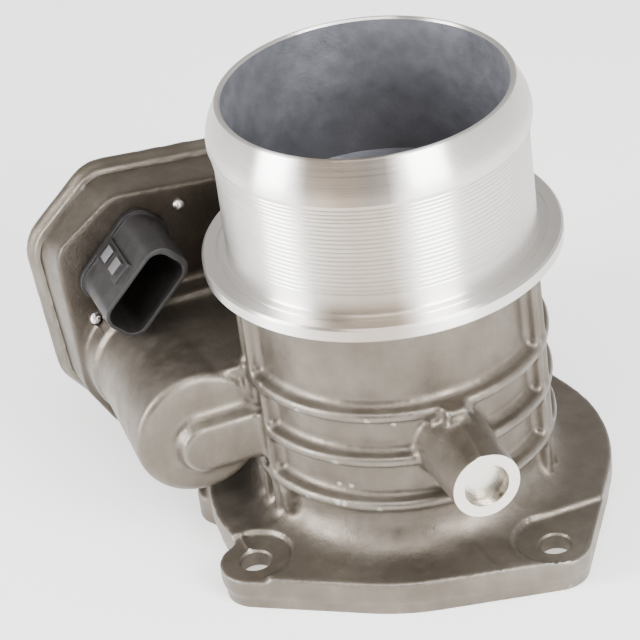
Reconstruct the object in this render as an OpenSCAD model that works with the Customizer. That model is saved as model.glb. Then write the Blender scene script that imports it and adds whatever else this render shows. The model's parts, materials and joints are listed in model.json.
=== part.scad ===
// Motor-driven intake throttle body: cast housing with a turned hose spigot, a butterfly plate on a
// cross shaft, a two-stage gear train in the side case, and the motor that turns it.
// +Z is the air bore, pointing out of the hose spigot. Z = 0 is the flange's sealing face.
// The shaft lies along Y, with the gear case on the +Y side and the motor on the -X side.

/* [Air bore] */
// radius of the bore that the plate closes
bore_r = 26; // [22:0.5:28]
// radius of the bore inside the hose spigot
spigot_bore_r = 30; // [28:0.5:32]
// height of the spigot's rim above the sealing face
spigot_top = 103; // [95:1:115]
// outside radius of the grooved part of the spigot
spigot_r = 33; // [32:0.1:34]
// outside radius of the lip that holds the hose
lip_r = 34.1; // [33.5:0.1:35.5]
// outside radius of the hose stop collar
collar_r = 38.4; // [36:0.1:40]
// height of the collar's upper face
collar_top = 68; // [60:0.5:75]

/* [Flange] */
// thickness of the mounting flange
flange_t = 8.4; // [7:0.1:10]
// radius of the round part of the flange
flange_r = 44.8; // [42:0.1:48]
// distance of each bolt hole from the bore's axis
bolt_circle_r = 45.3; // [44:0.1:48]
// radius of the bolt holes
bolt_hole_r = 3.3; // [2.7:0.1:4.5]

/* [Shaft and plate] */
// height of the shaft's axis above the sealing face
shaft_z = 33; // [30:0.5:40]
// radius of the shaft
shaft_r = 4; // [3:0.5:5]
// thickness of the butterfly plate
plate_t = 2; // [1.5:0.1:3]
// gap between the plate's edge and the bore
plate_gap = 0.15; // [0.1:0.05:0.4]

/* [Gear train] */
// tooth module
gear_m = 0.8; // [0.5:0.1:1.2]
// teeth on the motor's pinion
motor_teeth = 14; // [10:1:20]
// teeth on the intermediate wheel
wheel_teeth = 42; // [30:1:50]
// teeth on the intermediate pinion
pinion_teeth = 12; // [10:1:16]
// teeth on a full circle of the shaft's toothed sector
sector_teeth = 48; // [36:1:60]

/* [Motor] */
// X of the motor's axis
motor_x = -46; // [-50:0.5:-40]
// Z of the motor's axis
motor_z = 32; // [28:0.5:36]
// outside radius of the motor's can
can_r = 11; // [9:0.5:12]

/* [Hidden] */
$fn = 72;
e = 0.01;
run = 0.03;

// outline of the gear case rim: circles [x, z, radius] that its edge wraps
rim = [[-47.2, 19.4, 10.8], [0, 33, 26], [10, 58, 10.3], [-46.5, 64.6, 8.8], [-55.6, 54.3, 10.3], [-53.6, 26.6, 10]];
// outline of the case's flat floor, in the same way
foot = [[-48, 20, 9], [0, 33, 22.5], [10, 58, 7.4], [-45.9, 64.6, 6.5], [-56.2, 58, 5.9], [-53.8, 26.6, 7]];
case_floor = 39;
case_inner = 42;
rim_front = 50.6;
rim_back = 52.4;
cover_in = 53.2;

// bolt holes, as angles around the bore
bolt_angles = [201.4, 291.4, 50];
lobe_r = 7.8;

// middle of the motor barrel's outside
barrel_x = motor_x + 0.6;
barrel_z = motor_z - 0.8;

// gear centres
stage_a = gear_m * (sector_teeth + pinion_teeth) / 2;
stage_b = gear_m * (wheel_teeth + motor_teeth) / 2;
span = sqrt(motor_x * motor_x + (motor_z - shaft_z) * (motor_z - shaft_z));
span_ux = motor_x / span;
span_uz = (motor_z - shaft_z) / span;
along = (stage_a * stage_a - stage_b * stage_b + span * span) / (2 * span);
aside = sqrt(stage_a * stage_a - along * along);
idler_x = along * span_ux + aside * span_uz;
idler_z = shaft_z + along * span_uz - aside * span_ux;
mesh_a = atan2(idler_z - shaft_z, idler_x);
mesh_b = atan2(motor_z - idler_z, motor_x - idler_x);

// outline of the cover's dome, wrapped round the gears
dome = [[motor_x, motor_z, 13], [0, shaft_z, 22], [idler_x, idler_z, 19.6]];

// connector, turned 45 degrees in the case floor
conn_x = -47.8;
conn_z = 55.95;
conn_front = 21;
conn_c = [[7.45, 1.5], [-6.3, 1.5], [-6.3, -1.5], [7.45, -1.5]];
rivets = [[16.7, -3.85], [-15.2, -3.6]];

// colours
cast_grey = [0.66, 0.65, 0.62];
turned = [0.85, 0.85, 0.86];
steel = [0.62, 0.63, 0.65];
black_plastic = [0.08, 0.08, 0.09];
natural_nylon = [0.86, 0.84, 0.76];
rubber_black = [0.05, 0.05, 0.05];
copper = [0.72, 0.45, 0.28];
gold = [0.83, 0.69, 0.35];

// ---- helpers ----

// angle of the outward normal of the line that wraps circles a and b, taken anticlockwise
function wrap_angle(a, b) =
    atan2(b[1] - a[1], b[0] - a[0]) - acos((a[2] - b[2]) / norm([b[0] - a[0], b[1] - a[1]]));

function on_circle(c, angle) = [c[0] + c[2] * cos(angle), c[1] + c[2] * sin(angle)];

function grown(circles, d) = [for (c = circles) [c[0], c[1], c[2] + d]];

// the same circle, smaller by a hair, so that a line leaving it crosses it cleanly
function under(c) = [c[0], c[1], c[2] - 0.004];

// outline wrapped round a ring of circles listed anticlockwise
module wrapped(circles) {
    n = len(circles);
    polygon([for (i = [0 : n - 1]) let (a = circles[i], b = circles[(i + 1) % n], t = wrap_angle(a, b))
             for (p = [on_circle(under(a), t), on_circle(under(b), t)]) p]);
    for (c = circles)
        translate([c[0], c[1]])
            circle(c[2]);
}

// extrudes an outline drawn in X and Z from y0 to y1
module slab(y0, y1) {
    translate([0, y1, 0])
        rotate([90, 0, 0])
            linear_extrude(y1 - y0)
                children();
}

// round bar along Y, with its own radius at each end
module bar(x, z, y0, y1, r0, r1) {
    translate([x, y0, z])
        rotate([-90, 0, 0])
            cylinder(h = y1 - y0, r1 = r0, r2 = r1);
}

module ring(x, z, y0, y1, r_out, r_in) {
    difference() {
        bar(x, z, y0, y1, r_out, r_out);
        bar(x, z, y0 - e, y1 + e, r_in, r_in);
    }
}

// connector's own frame: local X and Z lie in the case floor, Y stays put
module conn_frame() {
    translate([conn_x, 0, conn_z])
        rotate([0, -45, 0])
            children();
}

// flange that holds the connector inside the case, with a rivet at each end
conn_flange = [[rivets[0][0], rivets[0][1], 2.6], [7.45, 1.5, 5], [-6.3, 1.5, 5], [rivets[1][0], rivets[1][1], 2.6]];

function conn_circles(r) = [for (c = [conn_c[3], conn_c[0], conn_c[1], conn_c[2]]) [c[0], c[1], r]];

// involute tooth outline of a whole gear
function roll(r, rb) = r <= rb ? 0 : tan(acos(rb / r)) * 180 / PI - acos(rb / r);
function half_tooth(r, m, z) =
    0.46 * 180 / z + roll(m * z / 2, m * z / 2 * cos(20)) - roll(r, m * z / 2 * cos(20));
function gear_radii(m, z) =
    let (rb = m * z / 2 * cos(20), root = m * z / 2 - 1.05 * m, tip = m * z / 2 + 0.75 * m, low = max(rb, root))
    [root, low, low + (tip - low) * 0.35, low + (tip - low) * 0.7, tip];
function gear_points(m, z, turn) =
    [for (i = [0 : z - 1]) let (mid = turn + i * 360 / z, rs = gear_radii(m, z))
     each concat([for (k = [0 : 4]) let (a = mid - half_tooth(rs[k], m, z)) [rs[k] * cos(a), rs[k] * sin(a)]],
                 [for (k = [4 : -1 : 0]) let (a = mid + half_tooth(rs[k], m, z)) [rs[k] * cos(a), rs[k] * sin(a)]])];

module gear(x, z, y0, y1, teeth, turn) {
    slab(y0, y1)
        translate([x, z])
            polygon(gear_points(gear_m, teeth, turn));
}

// ---- housing ----

// quarter-round flare and round collar, lip and grooves of the tube, as one turned outline
module tube_outline() {
    groove_n = 19;
    groove_z = collar_top + 3.6;
    polygon(concat(
        [[0, 1], [flange_r - 7.2, 1], [flange_r - 7.2, flange_t], [30.7, flange_t + 7],
         [30.4, 60.6], [31.2, 63.2], [33, 64.7], [collar_r - 0.3, 64.7], [collar_r, 65],
         [collar_r, collar_top - 0.3], [collar_r - 0.3, collar_top], [spigot_r, collar_top]],
        [for (i = [0 : groove_n - 1]) for (p = [[spigot_r, groove_z + i], [spigot_r - 0.25, groove_z + i + 0.5]]) p],
        [[spigot_r, groove_z + groove_n], [lip_r - 0.1, 93.6], [lip_r, 94.2], [lip_r, 96.8],
         [lip_r - 0.4, 98.4], [spigot_bore_r + 1.2, spigot_top], [0, spigot_top]]));
}

module flare() {
    rotate_extrude()
        difference() {
            translate([20, flange_t - 1])
                square([17.6, 8]);
            translate([37.6, flange_t + 7])
                circle(7);
        }
}

module flange_outline() {
    ring_c = [0, 0, flange_r];
    circle(flange_r);
    for (a = bolt_angles)
        translate(bolt_circle_r * [cos(a), sin(a)])
            circle(lobe_r);
    // straight edges that lead from the round part to each lobe
    for (s = [[201.4, 1], [291.4, 1], [291.4, -1], [50, 1], [50, -1]]) {
        swing = s[1] * acos((flange_r - lobe_r) / bolt_circle_r);
        lobe_c = [bolt_circle_r * cos(s[0]), bolt_circle_r * sin(s[0]), lobe_r];
        polygon([[0, 0], on_circle(under(ring_c), s[0] + swing), on_circle(under(lobe_c), s[0] + swing),
                 [lobe_c[0], lobe_c[1]]]);
    }
    // dowel lug beside the motor barrel
    translate([-38.4, 14.4])
        circle(6.6);
}

// recessed seats for the bolt heads; each runs straight out to the flange's edge
module bolt_seats() {
    for (a = bolt_angles)
        translate([bolt_circle_r * cos(a), bolt_circle_r * sin(a) + 1, flange_t - 1])
            cylinder(h = 20, r = 8.5);
    translate([-70, -60, flange_t - 1])
        cube([70 + bolt_circle_r * cos(201.4), 60 + bolt_circle_r * sin(201.4) + 9.5, 9]);
    translate([bolt_circle_r * cos(291.4), -60, flange_t - 1])
        cube([40, 60 + bolt_circle_r * sin(291.4) + 9.5, 9]);
}

module ring_ribs() {
    for (top = [21.2, 32.6, 43.8])
        translate([0, 0, top - 2.5])
            cylinder(h = 2.5, r1 = 33.7, r2 = 33.4);
    // upright ribs that tie the rings together
    for (a = [187.5, 172, 322, 60])
        rotate(a)
            translate([20, -2.1, flange_t])
                cube([13.2, 4.2, 62.5 - flange_t]);
    // cast drop below the lowest ring
    rotate(195)
        translate([31.3, 0, 10.5])
            cylinder(h = 9, r = 2.4);
}

module front_boss() {
    bar(0, shaft_z, -49.6, -24, 7.43, 9.2);
    translate([-2.3, -37, shaft_z + 6])
        cube([4.6, 12, 4.6]);
}

// bottom of the gear case, widening towards its rim
module case_shell() {
    hull() {
        for (c = foot)
            bar(c[0], c[1], case_floor, case_floor + 2, c[2], c[2] + 0.1, $fn = 48);
        for (c = rim)
            bar(c[0], c[1], rim_front - 0.5, rim_front, c[2] - 2.4, c[2] - 2.4, $fn = 48);
    }
    slab(rim_front, rim_back)
        wrapped(grown(rim, -1.3));
    // webs between the bore's wall and the case
    bar(0, shaft_z, 20, case_floor + 1, 13, 12);
    translate([-26, 18, 29.5])
        cube([42, 22, 6]);
    translate([-4, 18, flange_t])
        cube([8, 22, 52]);
    translate([-20, 30, flange_t - 1])
        cube([36, 11, 6]);
}

module motor_barrel() {
    bar(barrel_x, barrel_z, 1.2, 33.4, 14.5, 13.5);
    bar(barrel_x, barrel_z, 33, case_floor + 1, 14.5, 14.5);
    bar(barrel_x, barrel_z, 0, 1.2, 13.4, 14.5);
    // flat-topped web to the bore's wall
    translate([barrel_x, 1.5, 27])
        cube([23, case_floor - 1, 17.6]);
    translate([barrel_x, 33.2, 38])
        cube([25, 6.8, barrel_z + 14.2 - 38]);
    // raised pad on the barrel's end
    hull()
        for (x = [barrel_x, -28])
            bar(x, 29.3, -3.6, 0.5, 5.4, 7.1, $fn = 40);
}

module case_cavity() {
    slab(case_inner, rim_back + 1)
        wrapped(grown(rim, -5.4));
}

// seats raised from the case floor, inside the case
module case_inside() {
    intersection() {
        difference() {
            ring(motor_x, motor_z, case_inner - 1, 48, can_r + 2.4, can_r + 0.3);
            // notch for the connector's flange
            conn_frame()
                slab(case_inner, 46.2)
                    wrapped(grown(conn_flange, 0.4));
        }
        slab(case_inner - 1, rim_back)
            wrapped(grown(rim, -5));
    }
    intersection() {
        union() {
            for (a = [75, 255])
                bar(motor_x + 13.6 * cos(a), motor_z + 13.6 * sin(a), case_inner - 1, 48, 2.9, 2.9);
            bar(idler_x, idler_z, case_inner - 1, 45.5, 4.6, 4.6);
            bar(0, shaft_z, case_inner - 1, case_inner + 0.4, 8.9, 8.9);
        }
        slab(case_inner - 1, rim_back)
            wrapped(grown(rim, -5));
    }
}

module housing() {
    color(cast_grey)
    difference() {
        union() {
            linear_extrude(flange_t)
                flange_outline();
            rotate_extrude()
                tube_outline();
            flare();
            ring_ribs();
            front_boss();
            difference() {
                union() {
                    case_shell();
                    motor_barrel();
                }
                case_cavity();
            }
            case_inside();
        }
        // air bore: wide in the spigot, narrow where the plate works
        rotate_extrude()
            polygon([[0, -1], [bore_r + 0.6, -1], [bore_r + 0.6, 0], [bore_r, 0.6], [bore_r, 62],
                     [spigot_bore_r, 71], [spigot_bore_r, spigot_top - 0.4],
                     [spigot_bore_r + 0.4, spigot_top], [spigot_bore_r + 0.4, spigot_top + 1], [0, spigot_top + 1]]);
        bolt_seats();
        for (a = bolt_angles)
            translate([bolt_circle_r * cos(a), bolt_circle_r * sin(a), 0]) {
                translate([0, 0, -1])
                    cylinder(h = 20, r = bolt_hole_r);
                translate([0, 0, -1])
                    cylinder(h = 4.6, r = 4.6);
            }
        // groove for the seal ring in the sealing face
        translate([0, 0, -1])
            difference() {
                cylinder(h = 3.4, r = 33);
                translate([0, 0, -1])
                    cylinder(h = 6, r = 30);
            }
        // shaft line: front bush bore, shaft hole, rear seal and bearing seats
        bar(0, shaft_z, -50, -46.9, 5, 5);
        bar(0, shaft_z, -47, -31, 5.5, 5.5);
        bar(0, shaft_z, -32, 34, shaft_r + 0.2, shaft_r + 0.2);
        bar(0, shaft_z, 31.5, 37, 7, 7);
        bar(0, shaft_z, 36.5, 60, 8, 8);
        // motor bore and the pin's hole
        bar(motor_x, motor_z, 4, 60, can_r + 0.3, can_r + 0.3);
        bar(motor_x, motor_z, 2.5, 5, 4.4, 4.4);
        bar(idler_x, idler_z, 40.5, 60, 2, 2);
        for (a = [75, 255])
            bar(motor_x + 13.6 * cos(a), motor_z + 13.6 * sin(a), 41, 60, 1.25, 1.25);
        // connector opening and its rivet holes
        conn_frame() {
            slab(case_floor - 12, 60)
                wrapped(conn_circles(4.2));
            translate([-1.8, case_floor - 4, 4])
                cube([5, 6, 2.5]);
            for (r = rivets) {
                bar(r[0], r[1], case_floor - 4, 60, 1.1, 1.1);
                // spot face under the rivet's head
                bar(r[0], r[1], case_floor - 5, case_floor, 1.7, 1.7);
            }
        }
    }
}

module flange_seal() {
    color(rubber_black)
    rotate_extrude()
        translate([31.5, 1.2])
            circle(1.15);
}

// ---- shaft line ----

module end_plug() {
    color(turned)
    bar(0, shaft_z, -47, -45.6, 5.5, 5.5);
}

module front_bush() {
    color(gold)
    ring(0, shaft_z, -45.5, -35.5, 5.5, shaft_r + run);
}

module front_seal() {
    color(rubber_black)
    difference() {
        bar(0, shaft_z, -35.2, -31.2, 5.5, 5.5);
        bar(0, shaft_z, -36, -30, shaft_r + run, shaft_r + run);
        ring(0, shaft_z, -36, -33.2, 5, shaft_r + 0.5);
    }
}

module rear_seal() {
    color(rubber_black)
    difference() {
        bar(0, shaft_z, 31.6, 36.2, 7, 7);
        bar(0, shaft_z, 31, 37, shaft_r + run, shaft_r + run);
        ring(0, shaft_z, 33, 37, 6.2, shaft_r + 0.7);
    }
}

module bearing_track(r) {
    translate([0, 39.1, shaft_z])
        rotate([-90, 0, 0])
            rotate_extrude()
                translate([6.02, 0])
                    circle(r);
}

module bearing_outer_ring() {
    color(steel)
    difference() {
        ring(0, shaft_z, 36.6, 41.6, 8, 6.75);
        bearing_track(1.22);
    }
}

module bearing_inner_ring() {
    color(steel)
    difference() {
        ring(0, shaft_z, 36.6, 41.6, 5.3, shaft_r);
        bearing_track(1.22);
    }
}

module bearing_balls() {
    color(turned)
    for (i = [0 : 8])
        translate([6.02 * cos(i * 40 + 10), 39.1, shaft_z + 6.02 * sin(i * 40 + 10)])
            sphere(1.17);
}

module throttle_shaft() {
    color(steel)
    difference() {
        union() {
            bar(0, shaft_z, -44.8, -44, 3.4, shaft_r);
            bar(0, shaft_z, -44, 53.4, shaft_r, shaft_r);
        }
        // slot for the plate and tapped holes for its screws
        translate([-plate_t / 2, -bore_r - 0.2, shaft_z - 10])
            cube([plate_t, 2 * bore_r + 0.4, 20]);
        for (y = [-11, 11])
            translate([-10, y, shaft_z])
                rotate([0, 90, 0])
                    cylinder(h = 20, r = 1.6);
        // flats for the sector's hub
        for (s = [-1, 1])
            translate([s * 5.2 - 2, 46.4, shaft_z - 6])
                cube([4, 8, 12]);
    }
}

// stands edge-on to the flow when the throttle is open
module throttle_plate() {
    color(gold)
    difference() {
        translate([-plate_t / 2, 0, shaft_z])
            rotate([0, 90, 0])
                cylinder(h = plate_t, r = bore_r - plate_gap);
        for (y = [-11, 11])
            translate([-10, y, shaft_z])
                rotate([0, 90, 0])
                    cylinder(h = 20, r = 1.6);
    }
}

module plate_screws() {
    color(steel)
    for (y = [-11, 11])
        difference() {
            translate([0, y, shaft_z])
                rotate([0, 90, 0])
                    union() {
                        translate([0, 0, -4.2])
                            cylinder(h = 7.7, r = 1.6);
                        translate([0, 0, 3.5])
                            cylinder(h = 1.6, r1 = 3, r2 = 2.6);
                    }
            translate([4.2, y - 2, shaft_z - 0.4])
                cube([2, 4, 0.8]);
            translate([4.2, y - 0.4, shaft_z - 2])
                cube([2, 0.8, 4]);
            // seat on the round shaft
            bar(0, shaft_z, y - 4, y + 4, shaft_r, shaft_r);
        }
    color(steel)
    for (y = [-11, 11])
        translate([-3.9, y, shaft_z])
            rotate([0, 90, 0])
                cylinder(h = 7.8, r = 1.6);
}

// ---- gear train ----

module sector_gear() {
    color(natural_nylon)
    difference() {
        union() {
            // teeth over part of the circle
            intersection() {
                gear(0, shaft_z, 47, 53, sector_teeth, mesh_a);
                slab(46, 54)
                    translate([0, shaft_z])
                        polygon([[0, 0], 40 * [cos(mesh_a - 10), sin(mesh_a - 10)],
                                 50 * [cos(mesh_a + 45), sin(mesh_a + 45)],
                                 40 * [cos(mesh_a + 94), sin(mesh_a + 94)]]);
            }
            bar(0, shaft_z, 46.6, 53.2, 9, 9);
            bar(0, shaft_z, 53.2, 57, 6.1, 6.1);
        }
        // hole with flats
        difference() {
            bar(0, shaft_z, 46, 53.4, shaft_r, shaft_r);
            for (s = [-1, 1])
                translate([s * 5.2 - 2, 46, shaft_z - 6])
                    cube([4, 8, 12]);
        }
        bar(0, shaft_z, 54, 58, 5, 5);
        // lightening window
        for (a = [mesh_a + 20, mesh_a + 64])
            bar(13.4 * cos(a), shaft_z + 13.4 * sin(a), 46, 54, 2.6, 2.6);
    }
}

module sensor_magnet() {
    color(steel)
    bar(0, shaft_z, 54, 56.8, 5, 5);
}

// three turns of wire round the hub, with a leg at each end
module return_spring() {
    wire = 0.55;
    coil = 10.6;
    pitch = 1.2;
    first = case_inner + 0.7;
    color(steel)
    translate([0, 0, shaft_z]) {
        for (k = [0 : 2])
            translate([0, first + k * pitch, 0])
                rotate([90, 0, 0])
                    difference() {
                        rotate_extrude()
                            translate([coil, 0])
                                circle(wire);
                        // open part of the turn, from 330 degrees round to 360
                        translate([0, 0, -2])
                            linear_extrude(4)
                                polygon([[0, 0], [20 * cos(330), 20 * sin(330)], [20, -10], [20, 0]]);
                    }
        // steps from each turn to the next
        for (k = [0 : 1])
            wire_link([coil * cos(330), first + k * pitch, coil * sin(330)], [coil, first + (k + 1) * pitch, 0], wire);
        wire_link([coil, first, 0], [coil + 2.6, first, -1], wire);
        wire_link([coil * cos(330), first + 2 * pitch, coil * sin(330)], [8.9, first + 2 * pitch, -1.6], wire);
    }
}

module wire_link(p, q, r) {
    d = q - p;
    translate(p) {
        sphere(r + 0.05);
        rotate([0, acos(d[2] / norm(d)), atan2(d[1], d[0])])
            cylinder(h = norm(d), r = r - 0.02);
    }
    translate(q)
        sphere(r + 0.05);
}

module idler_pin() {
    color(steel)
    bar(idler_x, idler_z, 40.6, 61, 2, 2);
}

module idler_gear() {
    color(natural_nylon)
    difference() {
        union() {
            gear(idler_x, idler_z, 46, 54.2, pinion_teeth, mesh_a + 180 + 180 / pinion_teeth);
            gear(idler_x, idler_z, 54.2, 58.2, wheel_teeth, mesh_b);
            bar(idler_x, idler_z, 58.2, 59.4, 4, 4);
        }
        bar(idler_x, idler_z, 40, 62, 2 + run, 2 + run);
        ring(idler_x, idler_z, 57, 60, 14, 7);
    }
}

module idler_washer() {
    color(steel)
    ring(idler_x, idler_z, 59.6, 60.3, 3.8, 2);
}

// ---- motor ----

module motor_can() {
    color(steel)
    difference() {
        union() {
            bar(motor_x, motor_z, 8, 48, can_r, can_r);
            bar(motor_x, motor_z, 5.2, 8, 4, 4);
        }
        bar(motor_x, motor_z, 8.9, 49, can_r - 0.8, can_r - 0.8);
        bar(motor_x, motor_z, 4, 9, 1.2 + run, 1.2 + run);
    }
}

module motor_magnets() {
    color([0.2, 0.2, 0.21])
    difference() {
        ring(motor_x, motor_z, 13, 39, can_r - 0.85, can_r - 2.7);
        translate([motor_x - 20, 12, motor_z - 2])
            cube([40, 28, 4]);
    }
}

module motor_end_plate() {
    color(turned)
    difference() {
        union() {
            slab(48, 49.2) {
                translate([motor_x, motor_z])
                    circle(can_r);
                for (a = [75, 255])
                    translate([motor_x, motor_z])
                        rotate(a)
                            translate([13.6, 0])
                                circle(2.9);
                translate([motor_x, motor_z])
                    rotate(75)
                        translate([-13.6, -2.9])
                            square([27.2, 5.8]);
            }
            bar(motor_x, motor_z, 49.2, 51, 3.5, 3.5);
        }
        bar(motor_x, motor_z, 47, 52, 1.2 + run, 1.2 + run);
        for (a = [75, 255])
            bar(motor_x + 13.6 * cos(a), motor_z + 13.6 * sin(a), 47, 50, 1.5, 1.5);
    }
}

module motor_screws() {
    color(steel)
    for (a = [75, 255])
        difference() {
            union() {
                bar(motor_x + 13.6 * cos(a), motor_z + 13.6 * sin(a), 41.2, 49.5, 1.25, 1.25);
                bar(motor_x + 13.6 * cos(a), motor_z + 13.6 * sin(a), 49.2, 51, 2.6, 2.4);
            }
            slab(50.2, 52)
                translate([motor_x + 13.6 * cos(a), motor_z + 13.6 * sin(a)])
                    circle(1.2, $fn = 6);
        }
}

module motor_shaft() {
    color(steel)
    bar(motor_x, motor_z, 5.4, 58.9, 1.2, 1.2);
}

module armature() {
    color(copper)
    difference() {
        union() {
            bar(motor_x, motor_z, 14, 36, 7.9, 7.9);
            bar(motor_x, motor_z, 11.5, 38.5, 6.2, 6.2);
        }
        bar(motor_x, motor_z, 10, 40, 1.2, 1.2);
        for (a = [0 : 72 : 359])
            translate([motor_x, 26, motor_z])
                rotate([0, a, 0])
                    translate([6.6, -13, -0.6])
                        cube([3, 26, 1.2]);
    }
}

module commutator() {
    color(copper)
    ring(motor_x, motor_z, 40, 45, 3, 1.2);
}

module motor_pinion() {
    color(gold)
    difference() {
        gear(motor_x, motor_z, 53.4, 58.8, motor_teeth, mesh_b + 180 + 180 / motor_teeth);
        bar(motor_x, motor_z, 53, 60, 1.2, 1.2);
    }
}

// ---- cover and sensor ----

// pressed cover; its edge is rolled over the case rim
module gear_cover() {
    color(cast_grey)
    difference() {
        union() {
            slab(rim_front - 1.1, cover_in + 1)
                wrapped(rim);
            slab(cover_in, 66)
                wrapped(dome);
            // raised boss over the shaft's end
            bar(0, shaft_z, 65, 67.4, 13, 12);
        }
        slab(rim_front - 2, rim_front + 1)
            wrapped(grown(rim, -2.2));
        slab(rim_front, cover_in)
            wrapped(grown(rim, -1.2));
        slab(cover_in - 1, 64.8)
            wrapped(grown(dome, -1.5));
    }
}

module cover_gasket() {
    color(rubber_black)
    slab(rim_back, cover_in)
        difference() {
            wrapped(grown(rim, -1.6));
            wrapped(grown(rim, -5));
        }
}

module sensor_carrier() {
    color(black_plastic)
    difference() {
        slab(62, 64.8)
            translate([-13, shaft_z - 10])
                square([28, 20]);
        slab(61, 66)
            translate([-10, shaft_z - 7])
                square([22, 14]);
    }
}

module sensor_board() {
    color([0.08, 0.3, 0.16])
    slab(60.4, 62)
        translate([-13, shaft_z - 10])
            square([28, 20]);
}

module sensor_chip() {
    color(black_plastic)
    slab(59, 60.4)
        translate([-2.5, shaft_z - 2])
            square([5, 4]);
}

// ---- connector ----

pin_x = [-6.4, -3.2, 0, 3.2, 6.4];

module connector_shell() {
    color(black_plastic)
    difference() {
        union() {
            conn_frame() {
                slab(conn_front, 44)
                    wrapped(conn_circles(4));
                // latch rail and ramp on the long side
                translate([-1.6, 25, 4])
                    cube([4.6, 15, 2.3]);
                translate([-1, 28, 4])
                    cube([3.4, 3, 3.1]);
            }
            // flange inside the case, trimmed to the case's wall
            intersection() {
                conn_frame()
                    slab(case_inner + 0.8, 45)
                        wrapped(conn_flange);
                slab(case_inner, 46)
                    wrapped(grown(rim, -5.7));
            }
        }
        conn_frame() {
            slab(conn_front - 1, 36)
                wrapped(conn_circles(2.85));
            for (x = pin_x)
                translate([x - 0.75, 30, -0.35])
                    cube([1.5, 20, 0.7]);
            for (r = rivets)
                bar(r[0], r[1], 42, 46, 1.1, 1.1);
        }
    }
}

module connector_pins() {
    color(gold)
    conn_frame()
    for (x = pin_x)
        translate([x - 0.75, 31.5, -0.35])
            cube([1.5, 15.5, 0.7]);
}

module connector_seal() {
    color(rubber_black)
    conn_frame()
    slab(case_inner, case_inner + 0.8)
        difference() {
            wrapped(conn_circles(4.9));
            wrapped(conn_circles(4.25));
        }
}

module connector_rivets() {
    color(turned)
    conn_frame()
    for (r = rivets) {
        bar(r[0], r[1], case_floor - 0.1, 45.1, 1.1, 1.1);
        difference() {
            translate([r[0], case_floor, r[1]])
                sphere(1.35);
            slab(case_floor, case_floor + 3)
                translate(r)
                    circle(3);
        }
        bar(r[0], r[1], 45, 45.8, 1.5, 1.3);
    }
}

housing();
flange_seal();
end_plug();
front_bush();
front_seal();
rear_seal();
bearing_outer_ring();
bearing_balls();
bearing_inner_ring();
throttle_shaft();
throttle_plate();
plate_screws();
sector_gear();
return_spring();
sensor_magnet();
idler_pin();
idler_gear();
idler_washer();
motor_can();
motor_magnets();
motor_end_plate();
motor_screws();
motor_shaft();
armature();
commutator();
motor_pinion();
gear_cover();
cover_gasket();
sensor_carrier();
sensor_board();
sensor_chip();
connector_shell();
connector_pins();
connector_seal();
connector_rivets();
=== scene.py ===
import bpy
import json
from math import acos, cos, pi, radians, sin, sqrt
from mathutils import Matrix, Vector


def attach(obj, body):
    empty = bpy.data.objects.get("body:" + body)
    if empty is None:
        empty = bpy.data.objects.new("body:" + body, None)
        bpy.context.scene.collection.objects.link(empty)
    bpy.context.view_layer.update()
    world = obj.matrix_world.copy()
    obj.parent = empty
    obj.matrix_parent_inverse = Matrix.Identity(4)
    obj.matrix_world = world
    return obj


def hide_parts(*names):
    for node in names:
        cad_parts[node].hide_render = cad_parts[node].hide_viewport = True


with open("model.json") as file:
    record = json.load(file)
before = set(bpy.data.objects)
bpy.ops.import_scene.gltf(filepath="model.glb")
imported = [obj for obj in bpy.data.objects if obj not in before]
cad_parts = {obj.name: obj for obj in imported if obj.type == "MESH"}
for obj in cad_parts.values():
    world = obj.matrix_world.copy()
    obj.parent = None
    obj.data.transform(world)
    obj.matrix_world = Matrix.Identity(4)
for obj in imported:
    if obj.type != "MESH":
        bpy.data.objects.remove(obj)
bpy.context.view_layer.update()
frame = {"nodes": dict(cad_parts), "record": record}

MM = 0.001

# ---- sizes, in millimetres ----
# +Z runs up the air bore from the flange's sealing face, +Y along the throttle shaft to the gear case

FLANGE_R = 44.8
FLANGE_TOP = 8.4
BOLT_CIRCLE_R = 45.3
BOLT_HOLE_R = 3.3
HOLE_FOOT_R, HOLE_FOOT_TOP = 4.6, 3.6
BOLT_ANGLES = (201.4, 291.4, 50.0)
LOBE_R = 7.8
SEAT_DEPTH = 1.0
SEAT_R = 8.5
TUBE_R = 30.5
RIB_R = 33.6
RIB_TOPS = (21.2, 32.6, 43.8)
RIB_H = 2.5
COLLAR_Z = 64.7
COLLAR_TOP = 68.0
COLLAR_R = 38.4
SPIGOT_R = 33.0
LIP_R = 33.95
SPIGOT_BORE_R = 30.0
SPIGOT_TOP = 103.0
BORE_R = 26.0
# the hose spigot's grooved land: where it starts, where it starts to swell, and its grooves
LAND_LOW, LAND_SWELL, LIP_LOW = 72.6, 89.2, 93.9
GROOVE_PITCH, GROOVE_DEPTH = 1.0, 0.09
SHAFT_Z = 33.0
BOSS_FACE = -49.6
BOSS_MOUTH_R = 4.95
PLUG_FACE, PLUG_BACK = -47.0, -45.6
PLUG_R = 5.5
CASE_FLOOR = 39.0
CASE_INNER = 42.0
RIM_FRONT = 50.6
RIM_BACK = 52.4
COVER_IN = 53.2
MOTOR_X, MOTOR_Z = -46.0, 32.0
BARREL_X, BARREL_Z = -45.4, 31.2
IDLER_X, IDLER_Z = -23.87, 35.48
# circles that the case's edge wraps, as x, z and radius
RIM = ((-47.2, 19.4, 10.8), (0, SHAFT_Z, 26), (10, 58, 10.3),
       (-46.5, 64.6, 8.8), (-55.6, 54.3, 10.3), (-53.6, 26.6, 10))
# the same for the case's flat floor, and for the dome that clears the gears
FOOT = ((-48, 20, 9), (0, SHAFT_Z, 22.5), (10, 58, 7.4),
        (-45.9, 64.6, 6.5), (-56.2, 58, 5.9), (-53.8, 26.6, 7))
DOME = ((MOTOR_X, MOTOR_Z, 13), (0, SHAFT_Z, 22), (IDLER_X, IDLER_Z, 19.6))
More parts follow.
